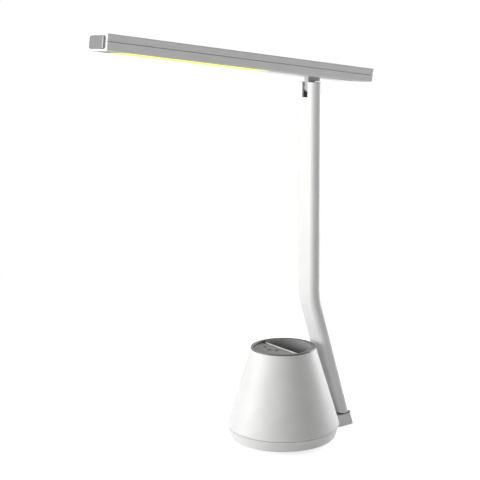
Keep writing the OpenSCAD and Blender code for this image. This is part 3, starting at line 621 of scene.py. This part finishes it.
class LAMP_OT_foot_block(LampPiece, bpy.types.Operator):
    """Foot block behind the base"""
    bl_idname = "lamp.foot_block"
    bl_label = "Foot block"

    def make(self, sizes):
        hidden_from = -55 * MM      # from here on the block is inside the base

        def outside(point):
            return point.x < hidden_from
        restyle("foot_block", "foot_block_skin", "white_shell", "base", sizes.shell_edge, outside)


class LAMP_OT_hinge(LampPiece, bpy.types.Operator):
    """Butt hinge between foot block and arm"""
    bl_idname = "lamp.hinge"
    bl_label = "Hinge"

    def make(self, sizes):
        restyle("hinge_leaf_lower", "hinge_lower_leaf", "hinge_dark", "base", sizes.fine_edge / 2)
        restyle("hinge_leaf_upper", "hinge_upper_leaf", "hinge_dark", "arm", sizes.fine_edge / 2)
        restyle("hinge_pin", "hinge_pin_rod", "steel", "base", sizes.fine_edge)


ARM_X = TILT_AXIS.x         # centre line of the arm's upright part
ARM_DEPTH = 14.8 * MM
ARM_WIDTH = 31.0 * MM
ARM_WALL = 2.4 * MM
ARM_LEAN = math.radians(17.2)
BEND_RADIUS = 70.0 * MM
BEND_MEETS = 169.5 * MM     # height at which the two straight parts would meet
BEND_TOP = BEND_MEETS + BEND_RADIUS * math.tan(ARM_LEAN / 2)
LOW_LENGTH = 185.0 * MM     # the leaning part, before it is trimmed level
CUT_PAST = 2.0 * MM         # a cutting body reaches this far past what it cuts
CORE_PLAY = 0.1 * MM        # between the arm's wall and what fills it
HINGE_ROOM = 2.0 * MM       # radius that stays free round the hinge's axis
SLOT_WIDTH = 9.8 * MM
SLOT_DEPTH = 17.3 * MM
NEAR_END = 0.5 * MM         # edges this close to an end belong to it


def arm_section(name, inset, height):
    """Outline of the arm's section at that height, smaller by inset all round."""
    sizes = bpy.context.scene.lamp_sizes
    clear_selection()
    bpy.ops.mesh.primitive_plane_add(size=1, location=(ARM_X, 0, height))
    piece = named_mesh(name)
    piece.scale = (ARM_DEPTH - 2 * inset, ARM_WIDTH - 2 * inset, 1)
    bpy.ops.object.transform_apply(location=True, rotation=True, scale=True)
    for foremost, radius in ((max, sizes.arm_front_round), (min, sizes.arm_rear_round)):
        edge = foremost(vertex.co.x for vertex in piece.data.vertices)
        select_corners(piece, lambda point: abs(point.x - edge) < MERGE)
        bpy.ops.object.mode_set(mode="EDIT")
        bpy.ops.mesh.bevel(offset=radius - inset, segments=12, profile=0.5, affect="VERTICES")
        bpy.ops.object.mode_set(mode="OBJECT")
    bpy.ops.object.mode_set(mode="EDIT")
    bpy.ops.mesh.select_all(action="SELECT")
    bpy.ops.mesh.delete(type="ONLY_FACE")
    bpy.ops.object.mode_set(mode="OBJECT")
    return piece


def arm_body(name, inset, past=0.0):
    """A closed body along the arm's centre line, which ends that far past the arm's ends."""
    low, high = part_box("arm_tube")
    piece = arm_section(name, inset, high.z + past)
    bpy.ops.object.mode_set(mode="EDIT")
    bpy.ops.mesh.select_mode(type="EDGE")
    bpy.ops.mesh.select_all(action="SELECT")
    bpy.ops.mesh.extrude_region_move(
        TRANSFORM_OT_translate={"value": (0, 0, BEND_TOP - high.z - past)})
    bpy.ops.mesh.spin(steps=16, angle=-ARM_LEAN, center=(ARM_X - BEND_RADIUS, 0, BEND_TOP),
                      axis=(0, 1, 0))
    down = (-LOW_LENGTH * math.sin(ARM_LEAN), 0, -LOW_LENGTH * math.cos(ARM_LEAN))
    bpy.ops.mesh.extrude_region_move(TRANSFORM_OT_translate={"value": down})
    bpy.ops.mesh.select_all(action="SELECT")
    bpy.ops.mesh.bisect(plane_co=(0, 0, low.z - past), plane_no=(0, 0, 1), clear_inner=True)
    bpy.ops.mesh.select_all(action="SELECT")
    bpy.ops.mesh.fill_holes(sides=0)
    bpy.ops.mesh.select_all(action="SELECT")
    bpy.ops.mesh.normals_make_consistent(inside=False)
    bpy.ops.object.mode_set(mode="OBJECT")
    return piece


class LAMP_OT_arm(LampPiece, bpy.types.Operator):
    """Flat arm tube with full round edges, bent once, slotted at its top, with what fills it"""
    bl_idname = "lamp.arm"
    bl_label = "Arm"

    def make(self, sizes):
        low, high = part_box("arm_tube")
        piece = arm_body("arm_skin", 0.0)
        combine(piece, arm_body("arm_hollow", ARM_WALL, CUT_PAST), "DIFFERENCE")
        slot = add_block("arm_slot", (ARM_X - ARM_DEPTH, -SLOT_WIDTH / 2, high.z - SLOT_DEPTH),
                         (ARM_X + ARM_DEPTH, SLOT_WIDTH / 2, high.z + SLOT_DEPTH))
        combine(piece, slot, "DIFFERENCE")
        slot_floor = high.z - SLOT_DEPTH - NEAR_END

        def ends(point):
            return point.z > slot_floor or point.z < low.z + NEAR_END
        soften(piece, sizes.arm_edge, ends)
        combine(piece, self.barrel_room(), "DIFFERENCE")
        smooth(piece)
        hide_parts("arm_tube")
        finish_piece(piece, finish("white_paint"), "arm", "white_paint")
        for node, name in (("arm_fork", "fork_in_arm_top"), ("arm_foot_plug", "plug_in_arm_foot")):
            core = copy_node(node, name)
            combine(core, arm_body("arm_core", ARM_WALL + CORE_PLAY, CUT_PAST), "INTERSECT")
            smooth(core)
            finish_piece(core, finish("dark_plastic"), "arm", "dark_plastic")

    def barrel_room(self):
        """What the hinge's barrel needs along the rear edge of the arm's foot."""
        clear_selection()
        bpy.ops.mesh.primitive_cylinder_add(vertices=48, radius=HINGE_ROOM, depth=2 * ARM_WIDTH,
                                            location=HINGE_AXIS, rotation=(math.pi / 2, 0, 0))
        room = named_mesh("barrel_room")
        bpy.ops.object.transform_apply(location=True, rotation=True, scale=True)
        return room


class LAMP_OT_tilt_joint(LampPiece, bpy.types.Operator):
    """Neck, pin and washers of the tilt joint"""
    bl_idname = "lamp.tilt_joint"
    bl_label = "Tilt joint"

    def make(self, sizes):
        restyle("head_neck", "neck", "grey_plastic", "head", sizes.shell_edge)
        dress_node("tilt_pin", "steel")
        dress_node("tilt_washers", "steel")


HEAD_TILT = math.radians(6.4)
# heights and ends of the head when it is level
HEAD_LOW = TILT_AXIS.z + 12.8 * MM
HEAD_TOP = HEAD_LOW + 17.2 * MM
HEAD_MIDDLE = (HEAD_LOW + HEAD_TOP) / 2
HEAD_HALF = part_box("head_housing")[1].y
HEAD_END = TILT_AXIS.x + 277.0 * MM
HEAD_SLOPE = TILT_AXIS.x - 46.0 * MM    # behind this the underside rises
CAD_EDGE = 2.4 * MM         # radius of the CAD model's long edges
ON_ARC = 0.05 * MM          # corners this close to that radius are on it
PAST_ARC = 0.02 * MM        # the corners are looked for this far past the rounded edge


def turn_head(piece, angle):
    """Turns a piece of the head about the tilt pin."""
    turn = Matrix.Rotation(angle, 4, "Y")
    there = Matrix.Translation(TILT_AXIS)
    pick(piece)
    piece.matrix_world = there @ turn @ there.inverted()
    bpy.ops.object.transform_apply(location=True, rotation=True, scale=True)


def tighten_edge(piece, side, level, radius):
    """Draws one long rounded edge towards its corner, so that it turns on a smaller radius."""
    corner = Vector((0, side * HEAD_HALF, level))
    inward = CAD_EDGE if level < HEAD_MIDDLE else -CAD_EDGE
    centre = Vector((0, side * (HEAD_HALF - CAD_EDGE), level + inward))
    reach = CAD_EDGE + PAST_ARC

    def on_edge(point):
        near = abs(point.y - corner.y) < reach and abs(point.z - corner.z) < reach
        away = math.hypot(point.y - centre.y, point.z - centre.z)
        return near and abs(away - CAD_EDGE) < ON_ARC and point.x > HEAD_SLOPE
    select_corners(piece, on_edge)
    factor = radius / CAD_EDGE
    bpy.ops.object.mode_set(mode="EDIT")
    bpy.ops.transform.resize(value=(1, factor, factor), center_override=corner)
    bpy.ops.object.mode_set(mode="OBJECT")


class LAMP_OT_head_shells(LampPiece, bpy.types.Operator):
    """Lower and upper shell of the head, with the groove between them"""
    bl_idname = "lamp.head_shells"
    bl_label = "Head shells"

    def make(self, sizes):
        for node, name, level in (("head_housing", "head_lower_shell", HEAD_LOW),
                                  ("head_cover", "head_upper_shell", HEAD_TOP)):
            piece = copy_node(node, name)
            turn_head(piece, HEAD_TILT)
            for side in (-1, 1):
                tighten_edge(piece, side, level, sizes.head_edge)
            turn_head(piece, -HEAD_TILT)
            soften(piece, sizes.fine_edge)
            smooth(piece)
            finish_piece(piece, finish("white_shell"), "head", "white_shell")


class LAMP_OT_light_strip(LampPiece, bpy.types.Operator):
    """Lit diffuser under the head"""
    bl_idname = "lamp.light_strip"
    bl_label = "Light strip"

    def make(self, sizes):
        restyle("diffuser", "light_diffuser", "diffuser_lit", "head", sizes.fine_edge)


TIP_FACE = HEAD_END - 0.4 * MM      # front of the insert
TIP_BACK = TIP_FACE - 3.2 * MM
TIP_HALF = 17.0 * MM                # half the insert's width
PLATE_EDGE = 9.2 * MM               # the plate ends here, then come the bar painted as a highlight and the dark block painted as shade
FRAME_HALF = 19.3 * MM
OPENING_HALF = TIP_HALF + 0.3 * MM
OPENING_REACH = 9.0 * MM            # the opening is cut this far behind and before the tip's end
# half the width of the dark plate painted as shade over the strip's end
END_SHADE_HALF = 17.4 * MM
FRONT_EDGE = 0.1 * MM               # edges this close to the plate's front are rounded

# the tip's blocks on the level head: its span along and across, height, edge radius, mid-height
TIP_BLOCKS = {
    "tip_frame": ((HEAD_END - 4.0 * MM, HEAD_END - 0.05 * MM), (-FRAME_HALF, FRAME_HALF),
                  13.8 * MM, 0.3 * MM, HEAD_MIDDLE),
    "tip_opening": ((HEAD_END - OPENING_REACH, HEAD_END + OPENING_REACH),
                    (-OPENING_HALF, OPENING_HALF), 13.5 * MM, 3.0 * MM, HEAD_MIDDLE),
    "tip_plate": ((TIP_BACK, TIP_FACE), (-TIP_HALF, PLATE_EDGE),
                  13.1 * MM, 2.8 * MM, HEAD_MIDDLE),
    # a lighter grey bar along the plate's edge: a painted highlight
    "tip_painted_highlight": ((TIP_BACK, TIP_FACE + 0.2 * MM), (PLATE_EDGE + 0.2 * MM, PLATE_EDGE + 3.0 * MM),
                12.4 * MM, 0.5 * MM, HEAD_MIDDLE),
    # a dark block between the bar and the frame: painted shade of the gap there
    "tip_painted_shade": ((TIP_BACK, TIP_FACE - 0.1 * MM), (PLATE_EDGE + 3.2 * MM, TIP_HALF),
                   13.0 * MM, 1.6 * MM, HEAD_MIDDLE),
    # a thin dark plate over the strip's end: painted shade under the tip
    "strip_end_painted_shade": ((HEAD_END - 20.0 * MM, HEAD_END - 5.8 * MM), (-END_SHADE_HALF, END_SHADE_HALF),
                      0.96 * MM, 0.2 * MM, HEAD_LOW + 0.5 * MM),
}


def tip_block(name):
    """One of the tip's blocks on the level head, its four edges along the head rounded."""
    (back, front), (left, right), height, radius, middle = TIP_BLOCKS[name]
    piece = add_block(name, (back, left, middle - height / 2), (front, right, middle + height / 2))
    soften(piece, radius, lambda point: back + MERGE < point.x < front - MERGE, steps=8)
    return piece


class LAMP_OT_tip(LampPiece, bpy.types.Operator):
    """Frame and plate in the head's tip, a lighter bar painted as a highlight and a dark block
    painted as shade beside the plate, and a dark plate painted as shade over the strip's end
    """
    bl_idname = "lamp.tip"
    bl_label = "Tip insert"

    def make(self, sizes):
        dress_node("tip_seal", "dark_plastic")
        frame_bar = tip_block("tip_frame")
        combine(frame_bar, tip_block("tip_opening"), "DIFFERENCE")
        plate = tip_block("tip_plate")
        soften(plate, sizes.shell_edge, lambda point: point.x > TIP_FACE - FRONT_EDGE)
        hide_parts("tip_insert")
        for piece, material, slot in ((frame_bar, "white_shell", "white_shell"),
                                      (plate, "tip_grey", "grey_plastic"),
                                      # the lighter bar is a painted highlight; the dark block and
                                      # the dark plate after it are painted shade
                                      (tip_block("tip_painted_highlight"), "grey_plastic", "grey_plastic"),
                                      (tip_block("tip_painted_shade"), "dark_plastic", "dark_plastic"),
                                      (tip_block("strip_end_painted_shade"), "dark_plastic", "dark_plastic")):
            turn_head(piece, -HEAD_TILT)
            smooth(piece)
            finish_piece(piece, finish(material), "head", slot)


class LAMP_OT_inner_parts(LampPiece, bpy.types.Operator):
    """Finishes of the parts inside base, arm and head"""
    bl_idname = "lamp.inner_parts"
    bl_label = "Inner parts"

    def make(self, sizes):
        for node, slot in (("touch_board", "circuit_board"), ("ballast_plate", "steel"),
                           ("battery_tray", "dark_plastic"), ("battery_cells", "cell_wrap"),
                           ("main_board", "circuit_board"), ("board_spacers", "grey_plastic"),
                           ("arm_lead", "lead_black"),
                           ("reflector", "reflector_white"), ("led_board", "board_white"),
                           ("led_chips", "led_yellow"), ("heat_bar", "heat_alu"),
                           ("head_lead", "lead_black")):
            dress_node(node, slot)


# ---- stage ----

LOOK_AT = Vector((0.0, 0.0, 0.206))
CAMERA_AZIMUTH = math.radians(37.19)
CAMERA_ELEVATION = math.radians(11.59)
CAMERA_DISTANCE = 1.31218
CAMERA_SENSOR = 36.0        # both in millimetres
CAMERA_LENS = 83.67
CAMERA_SHIFT = (-0.0901, 0.0634)
FLOOR_RADIUS = 3.0
FADE_FROM = 0.35            # the floor starts to fade this far from the base's axis
FADE_TO = 1.1
FLOOR_GREY = 0.8            # floor that the camera sees, with the shadow on it
FLOOR_GLOW = 0.7            # added there, so that the floor is white
FLOOR_BOUNCE = 0.85         # floor that throws light back on the lamp
SWEEP_GLOW = 0.8            # the bright sweep further away
PLAIN_WHITE = 1.0           # strength that shows as white

# where each light stands, what it points at and its two sides
KEY_LIGHT = ((1.27, -0.55, 0.34), (0.05, 0, 0.2), (1.3, 0.7))
SIDE_LIGHT = ((1.15, 0.62, 0.24), (0, 0, 0.22), (0.9, 0.5))
RIM_LIGHT = ((-1.3, 0.0, 0.5), (-0.03, 0, 0.22), (0.8, 0.9))


def area_light(name, place, target, size, power):
    data = bpy.data.lights.new(name, "AREA")
    data.shape = "RECTANGLE"
    data.size, data.size_y = size
    data.energy = power
    light = bpy.data.objects.new(name, data)
    bpy.context.scene.collection.objects.link(light)
    light.location = place
    light.rotation_euler = (Vector(target) - Vector(place)).to_track_quat("-Z", "Y").to_euler()


def seen_directly(tree):
    """1 for what the camera sees, also in gloss or through something clear."""
    nodes, links = tree.nodes, tree.links
    rays = nodes.new("ShaderNodeLightPath")
    total = rays.outputs["Is Camera Ray"]
    for kind in ("Is Glossy Ray", "Is Transmission Ray"):
        most = nodes.new("ShaderNodeMath")
        most.operation = "MAXIMUM"
        links.new(total, most.inputs[0])
        links.new(rays.outputs[kind], most.inputs[1])
        total = most.outputs["Value"]
    return total


def matt(tree, grey):
    node = tree.nodes.new("ShaderNodeBsdfDiffuse")
    node.inputs["Color"].default_value = (grey, grey, grey, 1)
    return node.outputs["BSDF"]


def glow(tree, strength):
    node = tree.nodes.new("ShaderNodeEmission")
    node.inputs["Strength"].default_value = strength
    return node.outputs["Emission"]


def both(tree, first, second):
    """The light of two shaders added up."""
    node = tree.nodes.new("ShaderNodeAddShader")
    tree.links.new(first, node.inputs[0])
    tree.links.new(second, node.inputs[1])
    return node.outputs["Shader"]


def between(tree, share, first, second):
    """The first shader where the share is 0, the second where it is 1."""
    node = tree.nodes.new("ShaderNodeMixShader")
    tree.links.new(share, node.inputs["Fac"])
    tree.links.new(first, node.inputs[1])
    tree.links.new(second, node.inputs[2])
    return node.outputs["Shader"]


class LAMP_OT_stage(LampPiece, bpy.types.Operator):
    """Floor, light and camera"""
    bl_idname = "lamp.stage"
    bl_label = "Stage"

    def make(self, sizes):
        stage = bpy.context.scene.lamp_stage
        self.make_floor()
        self.make_world(stage.fill)
        area_light("key_front", *KEY_LIGHT, stage.key_power)
        area_light("side_soft", *SIDE_LIGHT, stage.side_power)
        area_light("rim_back", *RIM_LIGHT, stage.rim_power)
        self.make_camera()

    def make_floor(self):
        """A pale disc that keeps the lamp's shadow and fades into the background."""
        clear_selection()
        bpy.ops.mesh.primitive_circle_add(vertices=96, radius=FLOOR_RADIUS, fill_type="NGON",
                                          location=(0, 0, 0))
        floor = named_mesh("studio_floor")
        material = bpy.data.materials.new("floor_white")
        material.use_nodes = True
        tree = material.node_tree
        tree.nodes.remove(tree.nodes["Principled BSDF"])
        fade = self.fade_outwards(tree)
        # what the camera and glossy surfaces see: a white floor with the shadow left in
        shadowed = both(tree, matt(tree, FLOOR_GREY), glow(tree, FLOOR_GLOW))
        seen = between(tree, fade, shadowed, glow(tree, PLAIN_WHITE))
        # what lights the lamp: the plain matt floor, and the bright sweep further away
        bounce = between(tree, fade, matt(tree, FLOOR_BOUNCE), glow(tree, SWEEP_GLOW))
        surface = between(tree, seen_directly(tree), bounce, seen)
        # nothing from below, so that the lamp's underside can be looked at
        side = tree.nodes.new("ShaderNodeNewGeometry")
        clear = tree.nodes.new("ShaderNodeBsdfTransparent")
        whole = between(tree, side.outputs["Backfacing"], surface, clear.outputs["BSDF"])
        tree.links.new(whole, tree.nodes["Material Output"].inputs["Surface"])
        floor.data.materials.append(material)

    def fade_outwards(self, tree):
        """0 round the lamp, 1 further out on the floor."""
        place = tree.nodes.new("ShaderNodeTexCoord")
        away = tree.nodes.new("ShaderNodeVectorMath")
        away.operation = "LENGTH"
        tree.links.new(place.outputs["Object"], away.inputs[0])
        fade = tree.nodes.new("ShaderNodeMapRange")
        fade.interpolation_type = "SMOOTHSTEP"
        fade.inputs["From Min"].default_value = FADE_FROM
        fade.inputs["From Max"].default_value = FADE_TO
        tree.links.new(away.outputs["Value"], fade.inputs["Value"])
        return fade.outputs["Result"]

    def make_world(self, fill):
        """Even light of that strength, and a white background."""
        world = bpy.data.worlds.new("studio")
        bpy.context.scene.world = world
        world.use_nodes = True
        tree = world.node_tree
        soft = tree.nodes["Background"]
        plain = tree.nodes.new("ShaderNodeBackground")
        for background, strength in ((soft, fill), (plain, PLAIN_WHITE)):
            background.inputs["Color"].default_value = (1, 1, 1, 1)
            background.inputs["Strength"].default_value = strength
        light = between(tree, seen_directly(tree), soft.outputs["Background"],
                        plain.outputs["Background"])
        tree.links.new(light, tree.nodes["World Output"].inputs["Surface"])

    def make_camera(self):
        data = bpy.data.cameras.new("camera")
        data.sensor_width = CAMERA_SENSOR
        data.lens = CAMERA_LENS
        data.shift_x, data.shift_y = CAMERA_SHIFT
        data.clip_start = 0.05
        camera = bpy.data.objects.new("camera", data)
        bpy.context.scene.collection.objects.link(camera)
        level = math.cos(CAMERA_ELEVATION)
        away = Vector((level * math.sin(CAMERA_AZIMUTH), level * math.cos(CAMERA_AZIMUTH),
                       math.sin(CAMERA_ELEVATION)))
        camera.location = LOOK_AT + CAMERA_DISTANCE * away
        camera.rotation_euler = (-away).to_track_quat("-Z", "Y").to_euler()
        bpy.context.scene.camera = camera
        bpy.context.scene.view_settings.view_transform = "Standard"


PIECES = (
    LAMP_OT_base_shell, LAMP_OT_base_cover, LAMP_OT_pads, LAMP_OT_mouth_ring,
    LAMP_OT_pen_cup, LAMP_OT_divider_rail, LAMP_OT_touch_plate, LAMP_OT_charge_inlet,
    LAMP_OT_fasteners, LAMP_OT_foot_block, LAMP_OT_hinge, LAMP_OT_arm,
    LAMP_OT_tilt_joint, LAMP_OT_head_shells, LAMP_OT_light_strip, LAMP_OT_tip,
    LAMP_OT_inner_parts, LAMP_OT_stage,
)


class LAMP_PT_panel(bpy.types.Panel):
    """The lamp's sizes, colours and pieces"""
    bl_label = "Pen-cup lamp"
    bl_idname = "LAMP_PT_panel"
    bl_space_type = "VIEW_3D"
    bl_region_type = "UI"
    bl_category = "Lamp"

    def draw(self, context):
        layout = self.layout
        for group in (context.scene.lamp_sizes, context.scene.lamp_colours,
                      context.scene.lamp_stage):
            box = layout.box()
            for name in group.bl_rna.properties.keys():
                if name not in ("rna_type", "name"):
                    box.prop(group, name)
        for piece in PIECES:
            layout.operator(piece.bl_idname)


CLASSES = (LampSizes, LampColours, LampStage, *PIECES, LAMP_PT_panel)


def register():
    for cls in CLASSES:
        bpy.utils.register_class(cls)
    bpy.types.Scene.lamp_sizes = PointerProperty(type=LampSizes)
    bpy.types.Scene.lamp_colours = PointerProperty(type=LampColours)
    bpy.types.Scene.lamp_stage = PointerProperty(type=LampStage)


def unregister():
    del bpy.types.Scene.lamp_stage
    del bpy.types.Scene.lamp_colours
    del bpy.types.Scene.lamp_sizes
    for cls in reversed(CLASSES):
        bpy.utils.unregister_class(cls)


def main():
    register()
    for piece in PIECES:
        getattr(bpy.ops.lamp, piece.bl_idname.removeprefix("lamp."))()
    clear_selection()


if __name__ == "__main__":
    main()
